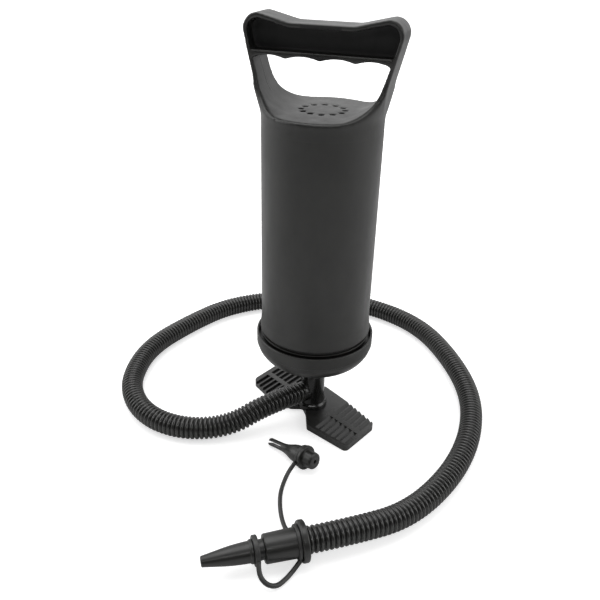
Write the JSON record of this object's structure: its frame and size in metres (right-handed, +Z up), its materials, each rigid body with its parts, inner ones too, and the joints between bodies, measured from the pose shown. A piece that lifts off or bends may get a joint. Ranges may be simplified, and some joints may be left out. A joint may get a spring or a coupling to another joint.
{
  "type": "double action hand pump",
  "caption": "Black double action hand pump with a one-piece barrel and handle, winged foot plate, ribbed air hose, nozzle and tethered valve adaptor.",
  "frame": {"origin": "on the floor, under the middle of the pump's stem, at the underside of the foot plate", "axes": "+Z up along the stem and barrel; +X along the handle's width, to the right as seen from the bare front of the barrel; +Y to the back"},
  "size_m": [0.2996, 0.3543, 0.2953],
  "materials": {
    "barrel_plastic": "satin",
    "cap_plastic": "gloss",
    "foot_plastic": "satin",
    "stem_plastic": "gloss",
    "inner_plastic": "satin",
    "hose_plastic": "gloss",
    "nozzle_plastic": "satin",
    "tether_rubber": "matte",
    "seal_rubber": "matte",
    "screw_steel": "brushed"
  },
  "bodies": {
    "base": {"foot_plate": "foot_plastic", "stem_tube": "stem_plastic", "piston_lower_disc": "inner_plastic", "piston_upper_disc": "inner_plastic", "piston_spacer": "inner_plastic", "piston_seal_ring": "seal_rubber", "piston_screw": "screw_steel", "hose": "hose_plastic", "hose_socket": "nozzle_plastic", "nozzle": "nozzle_plastic", "nozzle_seal_ring": "seal_rubber", "tether_neck_ring": "tether_rubber", "tether_sleeve_ring": "tether_rubber", "tether_adaptor_ring": "tether_rubber", "tether_strap_near": "tether_rubber", "tether_strap_far": "tether_rubber", "valve_adaptor": "nozzle_plastic"},
    "guide": {"guide_bush": "inner_plastic", "stem_lip_seal": "seal_rubber"},
    "barrel": {"barrel_with_handle": "barrel_plastic", "top_intake_cage": "inner_plastic", "bottom_cap": "cap_plastic", "cap_seal_ring": "seal_rubber", "cap_intake_keeper": "inner_plastic"},
    "top_intake": {"top_intake_disc": "seal_rubber"},
    "cap_intake": {"cap_intake_disc": "seal_rubber"},
    "lower_check": {"lower_check_disc": "seal_rubber"},
    "upper_check": {"upper_check_disc": "seal_rubber"}
  },
  "joints": [
    {"name": "pump_stroke", "type": "slide", "parent": "base", "child": "guide", "axis": [0, 0, 1], "range_m": [0, 0.142]},
    {"name": "barrel_turn", "type": "hinge", "parent": "guide", "child": "barrel", "pos_m": [0, 0, 0.056], "axis": [0, 0, 1], "continuous": true},
    {"name": "top_intake_lift", "type": "slide", "parent": "barrel", "child": "top_intake", "axis": [0, 0, 1], "range_m": [0, 0.0015]},
    {"name": "cap_intake_lift", "type": "slide", "parent": "barrel", "child": "cap_intake", "axis": [0, 0, 1], "range_m": [0, 0.0015]},
    {"name": "lower_check_lift", "type": "slide", "parent": "base", "child": "lower_check", "axis": [0, 0, 1], "range_m": [0, 0.0012]},
    {"name": "upper_check_lift", "type": "slide", "parent": "base", "child": "upper_check", "axis": [0, 0, 1], "range_m": [0, 0.0012]}
  ]
}
